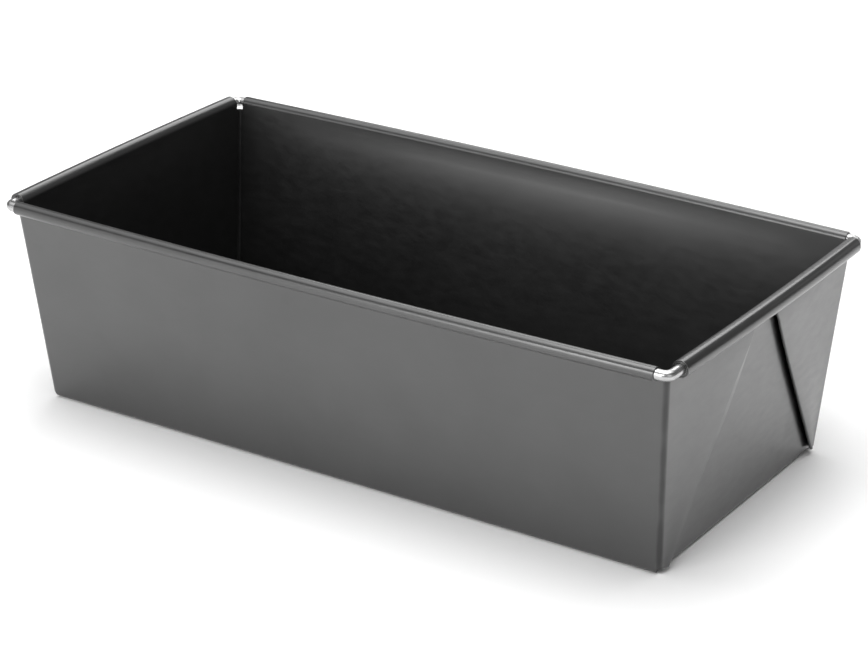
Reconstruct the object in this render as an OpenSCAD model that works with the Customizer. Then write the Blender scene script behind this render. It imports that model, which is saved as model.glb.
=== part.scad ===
// Loaf pan folded from one blank of coated sheet steel, with a rim rolled over a wire.
// The origin is the middle of the underside. X runs along the pan and Z is up. All sizes are in mm.

/* [Pan] */
// Length of the wire ring, between its centre lines at the two ends
rim_length = 260; // [220:2:320]
// Width of the wire ring at its corners, between its centre lines at the two long sides
rim_width = 133.6; // [120:0.2:160]
// Height of the wire's centre line above the underside
rim_height = 75.2; // [60:0.2:90]
// Length of the bottom, measured to where the end walls would meet it without a bend
base_length = 245.4; // [210:0.2:250]
// Width of the bottom, measured to where the long walls would meet it without a bend
base_width = 111.4; // [100:0.2:124]
// How far each long wall bows outwards at the middle of the rim
side_bow = 2.1; // [0.5:0.1:4]
// How far each end wall bows outwards at the middle of the rim
end_bow = 1.0; // [0.5:0.1:3]

/* [Sheet] */
// Thickness of the sheet
sheet_t = 0.5; // [0.4:0.05:0.6]
// Outside radius of the bends round the bottom and up the corners
bend_r = 2.1; // [1.5:0.1:3]
// Width left bare at the rim between the two folded ears of an end
hem_gap = 9; // [4:1:30]

/* [Rim] */
// Diameter of the wire in the rim
wire_d = 3.6; // [3:0.1:4]
// Radius of the wire's bend at each corner, on its centre line
wire_bend_r = 2.4; // [2.2:0.1:5]
// Clearance between the wire and the sheet rolled round it
wire_clearance = 0.05; // [0.02:0.01:0.1]
// Length of wire left bare at each corner, along a long side
side_bare = 4.2; // [4.2:0.1:9]
// Length of wire left bare at each corner, along an end
end_bare = 5.5; // [4.5:0.1:10]
// How far round the wire the sheet of a long side is rolled, in degrees
side_roll_turn = 312; // [270:2:320]
// How far round the wire the sheet of an end is rolled, in degrees
end_roll_turn = 292; // [270:2:300]
// Gap between the two ends of the wire, where they meet inside the far roll
wire_joint_gap = 0.3; // [0.2:0.1:1]

/* [Hidden] */

half_length = rim_length / 2;
half_width = rim_width / 2;
wire_r = wire_d / 2;
roll_inner_r = wire_r + wire_clearance;
// A long side is rolled from one layer of sheet, and an end from two, because it takes an ear in with it.
side_roll_r = roll_inner_r + sheet_t;
end_roll_r = roll_inner_r + 2 * sheet_t;
// Each ear is two layers of sheet, folded flat against the outside of the end wall.
ear_t = 2 * sheet_t;
// The sheet is cut away below the bare wire at each corner, and the ears stop at the same height.
notch_height = rim_height - wire_r - 0.2;

// How finely each stretch is divided
bend_steps = 5;
roll_steps = 20;
side_stations = 16;
end_stations = 12;

// Lean of a wall from upright. Without a bend its outer face would start from the ground at foot, and it passes
// the wire's centre at a distance off.
function lean(foot, wire_at, off) =
    let (run = wire_at - foot)
    atan2(run, rim_height) - asin(off / norm([run, rim_height]));
side_lean = lean(base_width / 2, half_width, side_roll_r - sheet_t);
end_lean = lean(base_length / 2, half_length, end_roll_r - sheet_t);

// Where the centre line of the corner bends lies at a height z, from the middle of the pan.
function bend_centre(foot, angle, z) = foot + z * tan(angle) - bend_r / cos(angle);
function side_centre(z) = bend_centre(base_width / 2, side_lean, z);
function end_centre(z) = bend_centre(base_length / 2, end_lean, z);

// Where an ear's folded edge lies at a height z, from the middle of the end.
hem_foot = side_centre(0) - 0.8;
function hem_y(z) = hem_foot + (hem_gap / 2 - hem_foot) * min(1, z / notch_height);

// A rim that bows outwards is an arc: its radius, and how far it stands out at a distance t from its middle.
function bow_radius(half, bow) = (half * half + bow * bow) / (2 * bow);
function bow_at(half, bow, t) = let (r = bow_radius(half, bow)) sqrt(r * r - t * t) - (r - bow);
// The walls bow in proportion to height, from nothing at the bottom to all of it below the rolls. A roll moves out
// whole, so that it stays round and clear of the wire.
function bowed(p) =
    let (
        share = min(1, p[2] / (rim_height - end_roll_r)),
        toward_x = max(-1, min(1, p[0] / (half_length - end_roll_r))),
        toward_y = max(-1, min(1, p[1] / (half_width - end_roll_r))))
    [p[0] + bow_at(half_width, end_bow, p[1]) * share * toward_x,
     p[1] + bow_at(half_length, side_bow, p[0]) * share * toward_y,
     p[2]];

// The sheet is drawn in upright columns round one quarter of the pan, from the middle of the +Y side to the
// middle of the +X end. A column is [kind, place]. The place is a share of its stretch, or an angle on the
// corner bend.
side_roll_x = half_length - side_bare;
end_roll_y = half_width - end_bare;
ear_share = (end_roll_y - hem_gap / 2) / (side_centre(rim_height) - hem_gap / 2);
side_columns = [for (i = [0 : side_stations / 2]) ["side", 2 * i / side_stations]];
bend_columns = [for (i = [0 : bend_steps]) ["bend", 90 * i / bend_steps]];
ear_columns = [for (i = [0 : end_stations / 2]) ["ear", ear_share * (1 - 2 * i / end_stations)]];
middle_columns = [["middle", 1], ["middle", 0.5], ["middle", 0]];
quarter = concat(side_columns, bend_columns, ear_columns, middle_columns);

function column_lean(c) =
    c[0] == "side" ? side_lean :
    c[0] == "bend" ? side_lean * pow(cos(c[1]), 2) + end_lean * pow(sin(c[1]), 2) : end_lean;

// A point of a column. The bend's centre line is taken at the height level, and out is how far the point is from
// it. eared says whether the point lies on the outside of the ear, and z is its own height.
function place(c, level, out, eared, z) =
    let (
        shift = eared ? ear_t : 0,
        corner_x = end_centre(level) + shift,
        corner_y = side_centre(level),
        top_x = end_centre(rim_height) + shift,
        hem = hem_y(z))
    c[0] == "side" ? [c[1] * side_roll_x * corner_x / top_x, corner_y + out, z] :
    c[0] == "bend" ? [corner_x + out * sin(c[1]), corner_y + out * cos(c[1]), z] :
    c[0] == "ear" ? [corner_x + out, hem + (side_centre(level) - hem) * c[1], z] :
    [corner_x + out, hem * c[1], z];

// The bend at the bottom, from the ground up to the wall.
function foot_points(c, r, eared) = [
    for (i = [0 : bend_steps]) let (a = -90 + (90 - column_lean(c)) * i / bend_steps)
        place(c, bend_r, r * cos(a), eared, bend_r + r * sin(a))
];
// A point of the wall at the height of the notch.
function notch_point(c, r, eared) =
    let (a = column_lean(c))
    place(c, notch_height + r * sin(a), r * cos(a), eared, notch_height);

// The roll over the wire, from the top of the wall round to the sheet's free edge. The wall's outer face runs on
// as the inside of the roll, next to the wire, and the wall's inner face as the outside of the roll.
function roll_points(c, next_to_wire) =
    let (
        on_side = c[0] == "side",
        a = column_lean(c),
        turn = on_side ? side_roll_turn : end_roll_turn,
        r = next_to_wire ? roll_inner_r : on_side ? side_roll_r : end_roll_r,
        at = place(c, rim_height, 0, false, rim_height))
    [for (i = [0 : roll_steps]) let (b = 180 - a - turn * i / roll_steps)
        on_side ? [c[1] * side_roll_x, half_width + r * cos(b), rim_height + r * sin(b)]
                : [half_length + r * cos(b), at[1], rim_height + r * sin(b)]];

function reversed(list) = [for (i = [len(list) - 1 : -1 : 0]) list[i]];

// One column's points: up the outside, round the roll, back along its other face, and down the inside. There are
// two points at the notch: the ear's outer face stops at the first, and the wall behind it goes on from the second.
function chain(c) =
    let (eared = c[0] != "middle", inner_r = bend_r - sheet_t)
    concat(
        foot_points(c, bend_r, eared), [notch_point(c, bend_r, eared)],
        [notch_point(c, bend_r, eared && (c[0] == "side" || (c[0] == "bend" && c[1] < 90)))],
        roll_points(c, true), reversed(roll_points(c, false)),
        [notch_point(c, inner_r, false)], reversed(foot_points(c, inner_r, false)));

// How many points a column has up to its notch, on one face of its roll, and altogether.
low = bend_steps + 3;
high = roll_steps + 1;
full = 2 * low + 2 * high - 1;
// The columns where the side's roll stops and the end's roll starts.
last_side = side_stations / 2;
first_ear = last_side + bend_steps + 2;
// In a rolled stretch two neighbouring columns are joined all along, and at a corner only below the notch.
all_rows = [for (i = [0 : full - 1]) i];
low_rows = [for (i = [0 : full - 1]) if (i < low || i >= full - low + 1) i];

function mirrored(p, sx, sy) = [sx * p[0], sy * p[1], p[2]];
// The triangles between two neighbouring columns.
function strip(a, b, rows) = [
    for (i = [0 : len(rows) - 2]) let (p = rows[i], q = rows[i + 1])
        each [[a * full + p, b * full + p, b * full + q], [a * full + p, b * full + q, a * full + q]]
];
module folded_pan() {
    n = len(quarter);
    signs = [[1, 1], [1, -1], [-1, -1], [-1, 1]];
    chains = [for (c = quarter) [for (p = chain(c)) bowed(p)]];
    // Round the pan, alternate quarters run backwards. Each leaves out its last column, which starts the next one.
    ring = [for (q = [0 : 3], i = [0 : n - 2]) let (k = q % 2 == 0 ? i : n - 1 - i) [k, signs[q]]];
    columns = len(ring);
    points = concat(
        [for (r = ring, p = chains[r[0]]) mirrored(p, r[1][0], r[1][1])],
        [[0, 0, 0], [0, 0, sheet_t]]);
    under = columns * full;
    function bare(k) = k >= last_side && k < first_ear;
    walls = [for (j = [0 : columns - 1])
        let (next = (j + 1) % columns, lower = min(ring[j][0], ring[next][0]))
        each strip(j, next, bare(lower) ? low_rows : all_rows)];
    bottom = [for (j = [0 : columns - 1])
        let (next = (j + 1) % columns)
        each [[under, next * full, j * full], [under + 1, j * full + full - 1, next * full + full - 1]]];
    // Where a roll stops at a corner, the cut edge of the sheet closes it.
    cuts = [for (j = [0 : columns - 1])
        let (k = ring[j][0], forward = (k == last_side) == (ring[(j + 1) % columns][0] > k))
        if (k == last_side || k == first_ear)
            each [for (i = [0 : high - 1])
                let (a = j * full + low - 1 + i, b = a + 1, d = j * full + low + 2 * high - i, c = d - 1)
                each forward ? [[a, c, b], [a, d, c]] : [[a, b, c], [a, c, d]]]];
    triangles = concat(walls, bottom, cuts);
    function apart(i, j) = norm(points[i] - points[j]) > 1e-6;
    // Two points fall together where a roll meets its wall without an ear, and triangles with no area are left out.
    real = [for (t = triangles) if (apart(t[0], t[1]) && apart(t[1], t[2]) && apart(t[2], t[0])) t];
    color([0.36, 0.37, 0.38]) polyhedron(points, real);
}

// Points along an arc in plan, as [x, y, direction of its outward normal], without its first point.
function arc_points(centre, r, from, to, steps) = [
    for (i = [1 : steps])
        let (a = from + (to - from) * i / steps)
        [centre[0] + r * cos(a), centre[1] + r * sin(a), a]
];

// The wire ring: two long arcs, two short arcs, and a bend at each corner that is tangent to both.
// Its two ends meet in the middle of the far side, with a small gap.
module rim_wire() {
    side_r = bow_radius(half_length, side_bow);
    end_r = bow_radius(half_width, end_bow);
    far_c = [0, half_width + side_bow - side_r];
    right_c = [half_length + end_bow - end_r, 0];
    // The corner bend's centre is at these distances from the centres of the two arcs that it joins.
    a = side_r - wire_bend_r;
    b = end_r - wire_bend_r;
    apart = norm(right_c - far_c);
    along = (a * a - b * b + apart * apart) / (2 * apart);
    off = sqrt(a * a - along * along);
    u = (right_c - far_c) / apart;
    corner = far_c + along * u + off * [u[1], -u[0]];
    side_from = atan2(corner[1] - far_c[1], corner[0] - far_c[0]);
    end_to = atan2(corner[1] - right_c[1], corner[0] - right_c[0]);
    joint = wire_joint_gap / 2 / side_r * 180 / PI;
    half_steps = side_stations / 2;
    function bend(sx, sy, from, to) = arc_points([sx * corner[0], sy * corner[1]], wire_bend_r, from, to, 6);
    path = concat(
        [[far_c[0] + side_r * cos(90 + joint), far_c[1] + side_r * sin(90 + joint), 90 + joint]],
        arc_points(far_c, side_r, 90 + joint, 180 - side_from, half_steps),
        bend(-1, 1, 180 - side_from, 180 - end_to),
        arc_points(-right_c, end_r, 180 - end_to, 180 + end_to, end_stations),
        bend(-1, -1, 180 + end_to, 180 + side_from),
        arc_points(-far_c, side_r, 180 + side_from, 360 - side_from, side_stations),
        bend(1, -1, 360 - side_from, 360 - end_to),
        arc_points(right_c, end_r, 360 - end_to, 360 + end_to, end_stations),
        bend(1, 1, 360 + end_to, 360 + side_from),
        arc_points(far_c, side_r, 360 + side_from, 450 - joint, half_steps));
    sides = 16;
    m = len(path);
    points = [for (p = path, j = [0 : sides - 1])
        let (t = 360 * j / sides, out = wire_r * cos(t))
        [p[0] + out * cos(p[2]), p[1] + out * sin(p[2]), rim_height + wire_r * sin(t)]];
    walls = [for (i = [0 : m - 2], j = [0 : sides - 1])
        let (k = (j + 1) % sides, here = i * sides, next = here + sides)
        each [[here + j, here + k, next + k], [here + j, next + k, next + j]]];
    ends = [[for (j = [sides - 1 : -1 : 0]) j], [for (j = [0 : sides - 1]) (m - 1) * sides + j]];
    color([0.82, 0.83, 0.84]) polyhedron(points, concat(walls, ends));
}

folded_pan();
rim_wire();
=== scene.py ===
# %% [markdown]
# # A folded loaf pan
# A commercial loaf pan is one blank of coated sheet steel, folded into a box whose corners are closed by
# folds, and a steel wire ring that its rim is rolled round. This notebook builds both the way a
# sheet-metal worker would: it lays out the fold lines, bends the sheet along them and rolls its edges over
# the wire. The CAD model is the fixed frame. Everything here is placed from it, in metres, on the same
# origin: the middle of the pan's underside, with X along the pan and Z up.

# %% Load the frame
import bmesh
import bpy
import math
from mathutils import Matrix, Vector


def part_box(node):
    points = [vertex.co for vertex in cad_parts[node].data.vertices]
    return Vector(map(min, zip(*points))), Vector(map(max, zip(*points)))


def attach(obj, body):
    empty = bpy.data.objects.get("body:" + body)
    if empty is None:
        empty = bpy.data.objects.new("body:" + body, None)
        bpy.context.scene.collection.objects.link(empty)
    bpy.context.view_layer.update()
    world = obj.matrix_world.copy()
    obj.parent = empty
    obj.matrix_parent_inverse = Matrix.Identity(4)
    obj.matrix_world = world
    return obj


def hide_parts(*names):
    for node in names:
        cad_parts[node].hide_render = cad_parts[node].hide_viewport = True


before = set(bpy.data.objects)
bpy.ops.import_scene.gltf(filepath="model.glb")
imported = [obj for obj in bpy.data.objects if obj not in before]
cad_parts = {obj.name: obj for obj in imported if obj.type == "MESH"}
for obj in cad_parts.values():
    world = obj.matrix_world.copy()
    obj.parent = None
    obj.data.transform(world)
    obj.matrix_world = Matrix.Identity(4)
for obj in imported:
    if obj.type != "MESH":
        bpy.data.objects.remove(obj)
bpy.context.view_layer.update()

# %% [markdown]
# ## The camera
# A long box looks its best from a raised three-quarter angle with a long lens, so that its edges stay
# nearly parallel. The camera is set here by where it stands and where it looks, in plain angles. Euler
# angles typed by hand would give the same view, but they are hard to read and to change one at a time.

# %% Camera
mm = 0.001
camera_height = 0.4439
camera_distance = 0.9403   # along the floor, from the origin
camera_bearing = math.radians(32.81)
look_left = math.radians(32.31)
look_down = math.radians(23.55)
camera_roll = math.radians(0.52)

camera = bpy.data.objects.new("camera", bpy.data.cameras.new("camera"))
camera.data.lens = 122.2
camera.data.shift_x = -0.0202
camera.data.shift_y = 0.0016
turn_camera = (
    Matrix.Rotation(look_left, 4, "Z")
    @ Matrix.Rotation(math.pi / 2 - look_down, 4, "X")
    @ Matrix.Rotation(camera_roll, 4, "Z")
)
stand = Vector((math.sin(camera_bearing), -math.cos(camera_bearing), 0)) * camera_distance
camera.matrix_world = Matrix.Translation(stand + Vector((0, 0, camera_height))) @ turn_camera
bpy.context.scene.collection.objects.link(camera)
bpy.context.scene.camera = camera
print("camera at", [round(c, 4) for c in camera.matrix_world.translation])

# %% [markdown]
# ## What the frame says
# The rim wire's box gives its radius and height, and the flat of the CAD underside gives the two lines
# where the walls start to bend up. From these come the leans of the walls. Measuring these keeps the looks
# on the CAD model when they change there. The bows, the sheet's thickness and the small sizes further down
# aren't measured: they are typed here, and a change has to be made in both places.

# %% Measure the frame
side_bow = 2.1 * mm    # how far the rim of a long wall bows outwards in its middle
end_bow = 1.0 * mm
sheet = 0.5 * mm
underside = 0.01 * mm    # CAD points below this height belong to the underside
low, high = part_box("rim_wire")
wire_r = (high.z - low.z) / 2
rim_z = (high.z + low.z) / 2
half_length = high.x - wire_r - end_bow
half_width = high.y - wire_r - side_bow

cad_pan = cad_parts["folded_pan"].data
flat = [v.co for v in cad_pan.vertices if v.co.z < underside]
foot_x = max(p.x for p in flat) - 2 * sheet    # the CAD flat runs on under the two layers of an ear
foot_y = max(p.y for p in flat)
print(f"wire {2 * wire_r / mm:.2f} mm thick, at a height of {rim_z / mm:.2f} mm")
print(f"flat of the bottom {2 * foot_x / mm:.1f} x {2 * foot_y / mm:.1f} mm")

# %% [markdown]
# ## Sheet and fold sizes
# A sheet that is folded on itself is drawn by its middle surface, and gets its thickness at the very end.
# A fold's layers lie a tenth of a millimetre further apart than the sheet is thick, so that flat layers
# don't share a surface. In the tightest turns some faces still cross. All radii below are to the middle of
# the sheet.

# %% Sheet sizes
bend_out = 2.1 * mm                # outside radius of the bends
bend_r = bend_out - sheet / 2
layer = 0.60 * mm                  # from one layer of a fold to the next
wire_room = 0.05 * mm              # between the wire and the sheet rolled round it
side_roll_r = wire_r + wire_room + sheet / 2
end_roll_r = side_roll_r + layer   # an end's roll has the ear's inner layer under it
notch_drop = 0.2 * mm              # from the wire's underside down to the notches
notch_z = rim_z - wire_r - notch_drop
side_bare = 4.2 * mm               # wire left bare at a corner, along a side and along an end
end_bare = 5.5 * mm
hem_top_y = 4.5 * mm               # where the folded edge of an ear meets the rim
same_plane = 0.001 * mm            # edges this close to a place or a height are taken to be there
weld = 0.02 * mm                   # points closer than this are joined
mirror_weld = 0.01 * mm            # the same, across a mirror's plane


def wall_lean(foot, wire_at, roll_r):
    """The lean of a wall that runs from the bend at its foot to the inside of its roll."""
    run, rise = wire_at - foot, rim_z - bend_out
    return math.atan2(run, rise) - math.asin((bend_r + roll_r) / math.hypot(run, rise))


side_lean = wall_lean(foot_y, half_width, side_roll_r)
end_lean = wall_lean(foot_x, half_length, end_roll_r)


def wall_at(foot, lean, z):
    """How far from the middle of the pan a wall stands at a height z."""
    return foot + bend_r / math.cos(lean) + (z - bend_out) * math.tan(lean)


print(f"the long walls lean {math.degrees(side_lean):.2f} degrees, the ends {math.degrees(end_lean):.2f}")

# %% [markdown]
# ## A path with a turtle
# Seen from above, the sheet is a path: along a long wall, round the corner, out along the end as the ear's
# outer layer, back under itself, round once more and along the end wall. Two small helpers lay such a
# path: one extrudes a vertex straight ahead, and one spins it round a point. A curve with a bevel could
# trace the same path, but it could not be joined to the same path at another height, which is how the
# walls are made.

# %% Path helpers
def straight(bm, vert, to, steps):
    """Extrudes vert in a straight line to a point. Returns the edges made and the last vertex."""
    step = (Vector(to) - vert.co) / steps
    edges = []
    for _ in range(steps):
        made = bmesh.ops.extrude_vert_indiv(bm, verts=[vert])
        vert = made["verts"][0]
        edges += made["edges"]
        bmesh.ops.translate(bm, verts=[vert], vec=step)
    return edges, vert


def turn(bm, vert, centre, degrees, steps, rise=0.0):
    """Spins vert round an upright line through centre. Returns the edges made and the last vertex."""
    known = set(bm.edges)
    made = bmesh.ops.spin(
        bm, geom=[vert], cent=centre, axis=(0, 0, 1), angle=math.radians(degrees), steps=steps,
        dvec=(0, 0, rise / steps),
    )
    last = [g for g in made["geom_last"] if isinstance(g, bmesh.types.BMVert)][0]
    return [e for e in bm.edges if e not in known], last


# %% [markdown]
# ## One level of a corner
# The function below lays the whole path for a quarter of the pan at one height. It is called twice, low
# and at the rim, with the same number of steps in each stretch, so that the two paths can be bridged face
# to face. The ear grows from almost nothing at the bottom to nearly half the end's width at the rim: it is
# the spare sheet that a box folded from one blank has at its corners.

# %% The path of a quarter at one height
rim_level = rim_z + side_roll_r * math.sin(side_lean), rim_z + end_roll_r * math.sin(end_lean)
foot_level = bend_out - bend_r * math.sin(side_lean), bend_out - bend_r * math.sin(end_lean)
# An ear and the fold beside it are placed by how far they are from the centre of the upright corner bend.
pinhole = 0.6 * mm       # how far short of it the fold stops at the bottom
nose_reach = 0.25 * mm   # how far past it the fold reaches at the rim
ear_foot = 0.8 * mm      # how far from it an ear's folded edge starts at the bottom
hem_foot_y = wall_at(foot_y, side_lean, 0) - bend_r - ear_foot
side_steps, end_steps, ear_steps, bend_steps = 24, 16, 12, 8


def corner_centre(z):
    """Where the middle of the upright corner bend is at a height z."""
    x = wall_at(foot_x, end_lean, z) + 2 * layer - bend_r
    y = wall_at(foot_y, side_lean, z) - bend_r
    return Vector((x, y, z))


def lay_level(bm, level):
    """Lays one quarter's path at the heights of its side and its end. Returns each stretch's edges."""
    z_side, z_end = level
    share = z_side / rim_level[0]
    corner = corner_centre(z_side)
    top_corner = corner_centre(rim_level[0])
    ear_x = corner.x + bend_r
    end_x = wall_at(foot_x, end_lean, z_end)
    hem_y = hem_foot_y + (hem_top_y - hem_foot_y) * min(1, z_side / notch_z)
    nose_y = corner.y - pinhole * (1 - share) + nose_reach * share
    top_nose_y = top_corner.y + nose_reach
    rolled_x = (half_length - side_bare) * corner.x / top_corner.x
    rolled_y = (half_width - end_bare) * nose_y / top_nose_y
    inner_share = (half_width - end_bare - hem_top_y) / (top_nose_y - hem_top_y)
    inner_y = hem_y + (nose_y - hem_y) * inner_share
    inner_x = ear_x - layer

    stretches = {}
    vert = bm.verts.new((0, corner.y + bend_r, z_side))
    stretches["side"], vert = straight(bm, vert, (rolled_x, corner.y + bend_r, z_side), side_steps)
    stretches["side_bare"], vert = straight(bm, vert, (corner.x, corner.y + bend_r, z_side), 1)
    stretches["bend"], vert = turn(bm, vert, corner, -90, bend_steps)
    stretches["ear_outer"], vert = straight(bm, vert, (ear_x, hem_y, z_side), ear_steps)
    stretches["hem"], vert = turn(bm, vert, (ear_x - layer / 2, hem_y, z_side), -180, bend_steps)
    stretches["ear_inner"], vert = straight(bm, vert, (inner_x, inner_y, z_side), ear_steps)
    stretches["inner_bare"], vert = straight(bm, vert, (inner_x, nose_y, z_side), 1)
    nose_centre = (inner_x - layer / 2, nose_y, z_side)
    stretches["nose"], vert = turn(bm, vert, nose_centre, 180, bend_steps, z_end - z_side)
    vert.co.x = end_x    # the wall leans, so it stands a little elsewhere at the end's own height
    stretches["end_bare"], vert = straight(bm, vert, (end_x, rolled_y, z_end), 1)
    stretches["end"], vert = straight(bm, vert, (end_x, 0, z_end), end_steps)
    return stretches


# %% [markdown]
# ## Raise the walls
# Bridging the two paths gives every wall, the corner bend and both layers of the ear at once. Each
# stretch's faces carry a number in a face layer, because later cuts split faces, and a split face keeps
# its number.

# %% Bridge the two levels
pan = bmesh.new()
low_path = lay_level(pan, foot_level)
high_path = lay_level(pan, rim_level)
stretch_layer = pan.faces.layers.int.new("stretch")
stretch_names = list(low_path)
for number, name in enumerate(stretch_names):
    made = bmesh.ops.bridge_loops(pan, edges=low_path[name] + high_path[name])
    for face in made["faces"]:
        face[stretch_layer] = number
print("bridged", len(pan.faces), "faces in", len(stretch_names), "stretches")

# %% [markdown]
# ## Notch the corners
# A roll can't follow a tight corner, so the sheet is cut away there and the bare wire shows. Bisecting at
# the notch's height splits every wall, and the faces above the cut are deleted wherever the sheet isn't
# rolled. The lower cuts only divide the tall walls, so that they can take the bow of the rim gradually.

# %% Divide the walls and cut the notches
rolled = {stretch_names.index(name) for name in ("side", "ear_inner", "end")}
cuts = 12
crowding = 0.55    # below 1, the cuts come closer together towards the rim
for i in range(1, cuts + 1):
    z = notch_z * (i / cuts) ** crowding
    everything = [*pan.verts, *pan.edges, *pan.faces]
    bmesh.ops.bisect_plane(pan, geom=everything, plane_co=(0, 0, z), plane_no=(0, 0, 1))
cut_away = [f for f in pan.faces if f[stretch_layer] not in rolled and f.calc_center_median().z > notch_z]
bmesh.ops.delete(pan, geom=cut_away, context="FACES")
print("notched:", len(pan.faces), "faces")

# %% [markdown]
# ## Roll the rim
# The top edge of each rolled stretch is spun round the wire's own centre line. The angle of the spin is
# how far the sheet was curled: a little short of closed, so that a line of shadow shows between the curl
# and the wall. The ear's inner layer is rolled in under the end's own curl.

# %% Roll the edges round the wire
side_roll_turn = 312    # degrees
end_roll_turn = 292
ear_roll_turn = end_roll_turn - 14    # the layer inside the roll ends a little sooner
roll_steps = 26


def spin_edges(bm, edges, centre, axis, degrees, steps):
    """Spins a chain of edges round an axis. Returns every edge made."""
    known = set(bm.edges)
    verts = list({v for e in edges for v in e.verts})
    bmesh.ops.spin(bm, geom=edges + verts, cent=centre, axis=axis, angle=math.radians(degrees), steps=steps)
    return [e for e in bm.edges if e not in known]


spin_edges(pan, high_path["side"], (0, half_width, rim_z), (1, 0, 0), -side_roll_turn, roll_steps)
spin_edges(pan, high_path["end"], (half_length, 0, rim_z), (0, 1, 0), end_roll_turn, roll_steps)
spin_edges(pan, high_path["ear_inner"], (half_length, 0, rim_z), (0, 1, 0), ear_roll_turn, roll_steps)
print("rolled:", len(pan.faces), "faces")

# %% [markdown]
# ## Bend the bottom
# The low edges are spun down to the ground round the two bend lines. Where the two bends meet, each runs
# on round the corner a little way, and between them a pinhole is left, because the bends aren't drawn any
# tighter than that.

# %% Bottom bends and corner
low_corner = corner_centre(foot_level[0])
wrap = 22.5    # how far each bend runs on round the corner, in degrees


def ends_at(edges, axis, place):
    """The edges that lie across a stretch at one place along it."""
    return [e for e in edges if all(abs(v.co[axis] - place) < same_plane for v in e.verts)]


side_low = low_path["side"] + low_path["side_bare"]
end_low = low_path["end_bare"] + low_path["end"]
end_stop = max(v.co.y for e in end_low for v in e.verts)
side_bend = math.degrees(side_lean) - 90
end_bend = 90 - math.degrees(end_lean)
side_made = spin_edges(pan, side_low, (0, foot_y, bend_out), (1, 0, 0), side_bend, bend_steps)
end_made = spin_edges(pan, end_low, (foot_x, 0, bend_out), (0, 1, 0), end_bend, bend_steps)
side_end = ends_at(side_made, 0, low_corner.x)
end_end = ends_at(end_made, 1, end_stop)
spin_edges(pan, side_end, (low_corner.x, foot_y, 0), (0, 0, 1), -wrap, 2)
spin_edges(pan, end_end, (foot_x, end_stop, 0), (0, 0, 1), wrap, 2)
bmesh.ops.remove_doubles(pan, verts=pan.verts, dist=weld)

# %% [markdown]
# ## The flat bottom
# The bottom is one flat face inside the bends. Its outline is already there on two sides. Two edges to the
# middle of the pan and one across the pinhole close it.

# %% Close the bottom
ground = sheet / 2


def at(bm, x, y):
    """The vertex of the flat bottom at a place in plan, made if there is none."""
    near = [v for v in bm.verts if (v.co - Vector((x, y, ground))).length < weld]
    return near[0] if near else bm.verts.new((x, y, ground))


outline = [(foot_x, end_stop), (low_corner.x, foot_y)], [(0, foot_y), (0, 0)], [(0, 0), (foot_x, 0)]
for start, stop in outline:
    bmesh.ops.contextual_create(pan, geom=[at(pan, *start), at(pan, *stop)])
loop = [e for e in pan.edges if all(v.co.z < ground + same_plane for v in e.verts)]
bmesh.ops.contextual_create(pan, geom=loop)
print("quarter:", len(pan.faces), "faces; outline of", len(loop), "edges")

# %% [markdown]
# ## Mirror, then bow
# The quarter is mirrored twice. The rim of such a pan is rarely straight, and this one stands outwards
# between the corners. Each point is moved out by the rise of a flat arc, nearly all of it close below the
# rim, which bows the walls and their rolls together. The rolls also stop at slightly different places, so
# each corner has its own lengths of bare wire.

# %% Mirror and bow the pan
bow_power = 6    # chosen, not from any law of bending: most of the bow is just below the rim
roll_foot = rim_z - end_roll_r
ear_lift = 0.9 * mm    # how far an ear's folded edge springs away from the end wall
lift_fade = 7 * mm     # the height below the notch over which that dies away
# Wire left bare at each corner in mm, along the side and the end. The keys say if x and y are positive.
bare_at = {
    (False, False): (3.9, 4.6),
    (True, False): (4.2, 7.0),
    (False, True): (3.9, 4.3),
    (True, True): (3.9, 4.3),
}


def bow_at(half, bow, t):
    """How far an arc through two corners stands out at a distance t from its middle."""
    radius = (half * half + bow * bow) / (2 * bow)
    return math.sqrt(radius * radius - t * t) - (radius - bow)


def toward(place, half):
    """From -1 to 1 across the pan, and level over a roll, so that the roll moves whole and stays round."""
    return max(-1, min(1, place / (half - end_roll_r)))


def ease(share):
    """A share from 0 to 1 that starts and stops smoothly."""
    share = min(1, max(0, share))
    return share * share * (3 - 2 * share)


ear_faces = [f for f in pan.faces if stretch_names[f[stretch_layer]] in ("ear_outer", "hem", "ear_inner")]
for vert in {v for f in ear_faces for v in f.verts}:
    z = min(vert.co.z, notch_z)
    hem_y = hem_foot_y + (hem_top_y - hem_foot_y) * z / notch_z
    out = (corner_centre(z).y - vert.co.y) / (corner_centre(z).y - hem_y)
    vert.co.x += ear_lift * ease(out) * ease((notch_z - vert.co.z) / lift_fade)

for axis in "XY":
    bmesh.ops.mirror(pan, geom=[*pan.verts, *pan.edges, *pan.faces], axis=axis, merge_dist=mirror_weld)
bmesh.ops.remove_doubles(pan, verts=pan.verts, dist=weld)
bmesh.ops.recalc_face_normals(pan, faces=pan.faces)


def verts_of(*names):
    """The vertices of some stretches."""
    return {v for f in pan.faces if stretch_names[f[stretch_layer]] in names for v in f.verts}


for vert in verts_of("side"):
    bare = bare_at[vert.co.x > 0, vert.co.y > 0][0] * mm
    reach = (half_length - bare) / (half_length - side_bare) - 1
    vert.co.x *= 1 + reach * ease(vert.co.z / notch_z)
for vert in verts_of("end", "ear_inner"):
    bare = bare_at[vert.co.x > 0, vert.co.y > 0][1] * mm
    reach = (half_width - bare) / (half_width - end_bare) - 1
    vert.co.y *= 1 + reach * ease(vert.co.z / notch_z)

for vert in pan.verts:
    share = min(1, vert.co.z / roll_foot) ** bow_power
    x, y = vert.co.x, vert.co.y
    vert.co.x += bow_at(half_width, end_bow, y) * share * toward(x, half_length)
    vert.co.y += bow_at(half_length, side_bow, x) * share * toward(y, half_width)
print("pan:", len(pan.verts), "vertices,", len(pan.faces), "faces")

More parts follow.
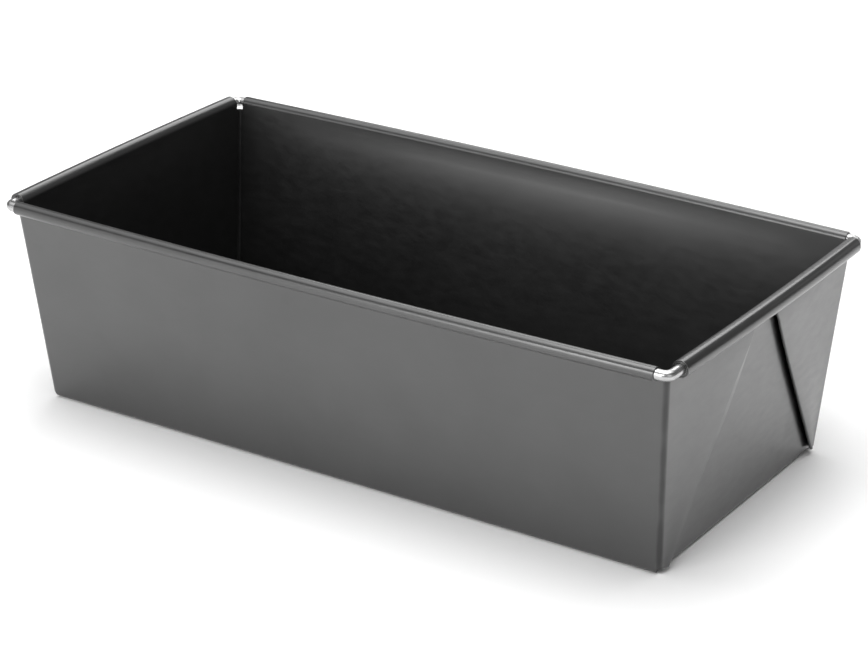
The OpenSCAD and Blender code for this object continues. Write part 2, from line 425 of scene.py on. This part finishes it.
# %% [markdown]
# ## From a surface to a piece
# Solidify gives the sheet its thickness to both sides of the middle surface. A very small bevel takes the
# sharpness off the cut edges and catches the light there. Weighted normals keep the flats flat next to the
# tight bends.

# %% Make the pan an object
def piece_from(bm, name, replaces):
    """Makes an object of a bmesh, shaded smooth, that rides on the pan's only body."""
    mesh = bpy.data.meshes.new(name)
    bm.to_mesh(mesh)
    bm.free()
    mesh.shade_smooth()
    piece = bpy.data.objects.new(name, mesh)
    bpy.context.scene.collection.objects.link(piece)
    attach(piece, "root")
    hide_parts(replaces)
    return piece


def soften_edges(piece, width, segments):
    """Rounds the sharp edges of a piece a little and evens out its shading."""
    bevel = piece.modifiers.new("cut_edges", "BEVEL")
    bevel.width = width
    bevel.segments = segments
    bevel.limit_method = "ANGLE"
    bevel.angle_limit = math.radians(40)
    bevel.use_clamp_overlap = False
    normals = piece.modifiers.new("even_shading", "WEIGHTED_NORMAL")
    normals.keep_sharp = True


# For the painted shade along the corner bends of the coating: this is about 0.5 in the middle of a corner
# bend and near 0 at its two ends.
bend_shade_layer = pan.verts.layers.float.new("fold")
pan.normal_update()
for vert in verts_of("bend"):
    vert[bend_shade_layer] = abs(vert.normal.x * vert.normal.y)
pan_piece = piece_from(pan, "folded_sheet_pan", "folded_pan")
thickness = pan_piece.modifiers.new("sheet_thickness", "SOLIDIFY")
thickness.thickness = sheet
thickness.offset = 0
thickness.use_even_offset = True
thickness.use_quality_normals = True
soften_edges(pan_piece, width=0.07 * mm, segments=2)

# %% [markdown]
# ## The rim wire
# The wire is a circle carried round the rim by spins: a very flat arc along each side, and a tight bend at
# each corner that is tangent to both of its neighbours. Spinning keeps the section round through every
# bend, where a curve's bevel can pinch on a bend this tight. Half of the ring is made and mirrored, and
# its two ends meet hidden inside the far roll with a small gap, as a cut and bent wire does.

# %% Sweep the wire
wire_bend_r = 2.4 * mm
wire_gap = 0.3 * mm
wire_weld = 0.005 * mm    # points of the wire closer than this are joined
side_arc_steps, corner_steps, end_arc_steps = 20, 12, 24
side_arc_r = (half_length ** 2 + side_bow ** 2) / (2 * side_bow)
end_arc_r = (half_width ** 2 + end_bow ** 2) / (2 * end_bow)
far_centre = Vector((0, half_width + side_bow - side_arc_r))
right_centre = Vector((half_length + end_bow - end_arc_r, 0))

# The corner bend's centre is at these distances from the centres of the two arcs that it joins.
to_far, to_right = side_arc_r - wire_bend_r, end_arc_r - wire_bend_r
apart = (right_centre - far_centre).length
heading = (right_centre - far_centre) / apart
along = (to_far ** 2 - to_right ** 2 + apart ** 2) / (2 * apart)
aside = math.sqrt(to_far ** 2 - along ** 2)
bend_at = far_centre + heading * along + Vector((heading.y, -heading.x)) * aside
bend_at = Vector((abs(bend_at.x), abs(bend_at.y)))
side_span = math.degrees(math.atan2(bend_at.x, bend_at.y - far_centre.y))
end_span = math.degrees(math.atan2(bend_at.y, bend_at.x - right_centre.x))
bend_span = 90 - side_span - end_span
gap_span = math.degrees(wire_gap / 2 / side_arc_r)
print(f"each corner of the wire turns {bend_span:.1f} degrees")


def carry(bm, ring, centre, degrees, steps):
    """Spins the wire's open end round an upright axis. Returns the new open end's edges."""
    verts = list({v for e in ring for v in e.verts})
    made = bmesh.ops.spin(
        bm, geom=ring + verts, cent=(centre[0], centre[1], rim_z), axis=(0, 0, 1),
        angle=math.radians(degrees), steps=steps,
    )
    return [g for g in made["geom_last"] if isinstance(g, bmesh.types.BMEdge)]


wire = bmesh.new()
across = Matrix.Translation((0, -half_width - side_bow, rim_z)) @ Matrix.Rotation(math.pi / 2, 4, "Y")
start = bmesh.ops.create_circle(wire, segments=24, radius=wire_r, matrix=across)
ring = list({e for v in start["verts"] for e in v.link_edges})
ring = carry(wire, ring, -far_centre, side_span, side_arc_steps)
ring = carry(wire, ring, (bend_at.x, -bend_at.y), bend_span, corner_steps)
ring = carry(wire, ring, right_centre, 2 * end_span, end_arc_steps)
ring = carry(wire, ring, bend_at, bend_span, corner_steps)
ring = carry(wire, ring, far_centre, side_span - gap_span, side_arc_steps)
bmesh.ops.contextual_create(wire, geom=ring)
everything = [*wire.verts, *wire.edges, *wire.faces]
bmesh.ops.mirror(wire, geom=everything, axis="X", merge_dist=mirror_weld)
bmesh.ops.remove_doubles(wire, verts=wire.verts, dist=wire_weld)
bmesh.ops.recalc_face_normals(wire, faces=wire.faces)
wire_piece = piece_from(wire, "rim_wire_ring", "rim_wire")
soften_edges(wire_piece, width=0.15 * mm, segments=2)

# %% [markdown]
# ## Two finishes
# The coating is thin and satin: the steel's smoothness shows through it, so it is shaded as a dark metal
# with a clear coat, and not as a paint. Three things keep it from looking computed: broad patches where it
# was baked a little differently, a fine grain, and rubbing that changes only the roughness. Its colour is
# also drawn darker along the upright corner bends: that is painted shade, drawn for the look of it, in
# place of the dark line that such a pan shows there and that these lights don't give. That is drawn for
# the look of it: what makes the line isn't known. The mesh carries an attribute for it. The wire is bare
# drawn steel, with fine lines along its length. Its noise is stretched in the two level directions, which
# gives lines along the wire wherever it runs round the rim. Colour could carry all of this, but real metal
# shows its wear mostly in its highlights.

# %% Material helpers
def new_material(name):
    """An empty material. Returns it with its nodes, its links and its Principled shader."""
    material = bpy.data.materials.new(name)
    material.use_nodes = True
    nodes, links = material.node_tree.nodes, material.node_tree.links
    return material, nodes, links, nodes["Principled BSDF"]


def noise(nodes, links, stretch, detail):
    """Noise on the piece's own coordinates, with its own number of patches per metre along each axis."""
    place = nodes.new("ShaderNodeTexCoord")
    mapping = nodes.new("ShaderNodeMapping")
    texture = nodes.new("ShaderNodeTexNoise")
    mapping.inputs["Scale"].default_value = stretch
    texture.inputs["Scale"].default_value = 1.0
    texture.inputs["Detail"].default_value = detail
    links.new(place.outputs["Object"], mapping.inputs["Vector"])
    links.new(mapping.outputs["Vector"], texture.inputs["Vector"])
    return texture.outputs["Fac"]


def ramp(nodes, links, fac, target, low, high):
    """Drives a shader's input from noise, between two grey levels. Returns the ramp's node."""
    colours = nodes.new("ShaderNodeValToRGB")
    first, last = colours.color_ramp.elements
    first.position, last.position = 0.3, 0.7
    first.color = (low, low, low, 1)
    last.color = (high, high, high, 1)
    links.new(fac, colours.inputs["Fac"])
    links.new(colours.outputs["Color"], target)
    return colours


def bump(nodes, links, fac, shader, depth):
    """Raises the surface by noise, by a depth in metres."""
    relief = nodes.new("ShaderNodeBump")
    relief.inputs["Strength"].default_value = 1.0
    relief.inputs["Distance"].default_value = depth
    links.new(fac, relief.inputs["Height"])
    links.new(relief.outputs["Normal"], shader.inputs["Normal"])


# %% The coating of the sheet
material, nodes, links, shader = new_material("release_coating")
shader.inputs["Metallic"].default_value = 1.0
shader.inputs["Coat Weight"].default_value = 0.6
shader.inputs["Coat Roughness"].default_value = 0.12
patches = noise(nodes, links, (35, 35, 35), 3)
rubbing = noise(nodes, links, (160, 160, 420), 5)
grain = noise(nodes, links, (2600, 2600, 2600), 2)
# Painted shade: the fold attribute takes the base colour down towards a dark grey along the upright corner
# bends.
fold = nodes.new("ShaderNodeAttribute")
fold.attribute_name = "fold"
patches_less_bend_shade = nodes.new("ShaderNodeMath")
patches_less_bend_shade.operation = "SUBTRACT"
links.new(patches, patches_less_bend_shade.inputs[0])
links.new(fold.outputs["Fac"], patches_less_bend_shade.inputs[1])
colours = ramp(nodes, links, patches_less_bend_shade.outputs["Value"], shader.inputs["Base Color"], 0.091, 0.100)
# The dark grey of the painted shade on the corner bends.
painted_bend_shade = colours.color_ramp.elements.new(0.0)
painted_bend_shade.color = (0.045, 0.045, 0.045, 1)
ramp(nodes, links, rubbing, shader.inputs["Roughness"], 0.34, 0.40)
bump(nodes, links, grain, shader, 0.004 * mm)
pan_piece.data.materials.append(material)

# %% The drawn wire
material, nodes, links, shader = new_material("drawn_wire")
shader.inputs["Metallic"].default_value = 1.0
tarnish = noise(nodes, links, (90, 90, 90), 3)
lines = noise(nodes, links, (60, 60, 9000), 3)
ramp(nodes, links, tarnish, shader.inputs["Base Color"], 0.48, 0.60)
ramp(nodes, links, lines, shader.inputs["Roughness"], 0.22, 0.34)
bump(nodes, links, lines, shader, 0.003 * mm)
wire_piece.data.materials.append(material)
print("materials:", [m.name for piece in (pan_piece, wire_piece) for m in piece.data.materials])

# %% [markdown]
# ## The studio
# A dark metal shows its surroundings more than its own colour, so the lights are placed for what each wall
# mirrors. A ceiling panel and a box overhead are there mainly to whiten the floor. Smaller ones in front,
# at different heights, fill the long wall evenly down to its bend, and one at the right does the same for
# the end. One high at the back draws the light lines along the tops of the rolls. The other three fill in
# from the left and from low at the back. The directions between them stay dim, which draws the dark bands
# on the rolls. A bright even surround would fill those bands in. Most of the lights were first rendered
# one at a time and mixed to find how strong each should be, and then changed.

# %% Floor
floor_mesh = bmesh.new()
floor_drop = 0.1 * mm    # a hair under the pan, so that the two surfaces don't coincide
below = Matrix.Translation((0, 0, -floor_drop))
bmesh.ops.create_grid(floor_mesh, x_segments=1, y_segments=1, size=10, matrix=below)
mesh = bpy.data.meshes.new("studio_floor")
floor_mesh.to_mesh(mesh)
floor_mesh.free()
floor = bpy.data.objects.new("studio_floor", mesh)
bpy.context.scene.collection.objects.link(floor)
material, nodes, links, shader = new_material("white_floor")
shader.inputs["Base Color"].default_value = (0.9, 0.9, 0.9, 1)
shader.inputs["Roughness"].default_value = 0.9
floor.data.materials.append(material)


# %% Lights
def softbox(name, place, width, height, power):
    """A rectangular soft light at place that faces the pan, and that the camera doesn't see."""
    light = bpy.data.lights.new(name, "AREA")
    light.shape = "RECTANGLE"
    light.size, light.size_y = width, height
    light.energy = power
    box = bpy.data.objects.new(name, light)
    facing = (-Vector(place)).to_track_quat("-Z", "Y")
    box.matrix_world = Matrix.Translation(place) @ facing.to_matrix().to_4x4()
    box.visible_camera = False
    bpy.context.scene.collection.objects.link(box)


softbox("ceiling", (0, 0, 3.5), 5.0, 5.0, 60)
softbox("overhead", (0, 0.05, 1.3), 1.0, 1.0, 13)
softbox("back_high", (-0.35, 1.0, 0.85), 0.9, 0.4, 3.5)
softbox("over_left", (-0.9, 0, 1.0), 1.2, 0.9, 2.4)
softbox("back_low", (0, 1.3, 0.35), 1.6, 0.6, 1.2)
softbox("front_low", (-0.35, -1.35, 0.3), 0.6, 0.4, 2.8)
softbox("front_middle", (-0.25, -1.3, 0.65), 0.6, 0.3, 5.0)
softbox("front_high", (0.25, -1.3, 0.8), 0.5, 0.4, 3.3)
softbox("left_front", (-0.95, -0.95, 0.35), 1.0, 0.5, 1.3)
softbox("right_front", (1.15, -0.6, 0.5), 0.8, 0.6, 1.6)

world = bpy.data.worlds.new("studio")
world.use_nodes = True
world.node_tree.nodes["Background"].inputs["Color"].default_value = (1, 1, 1, 1)
world.node_tree.nodes["Background"].inputs["Strength"].default_value = 0.14
bpy.context.scene.world = world
bpy.context.scene.view_settings.view_transform = "Standard"
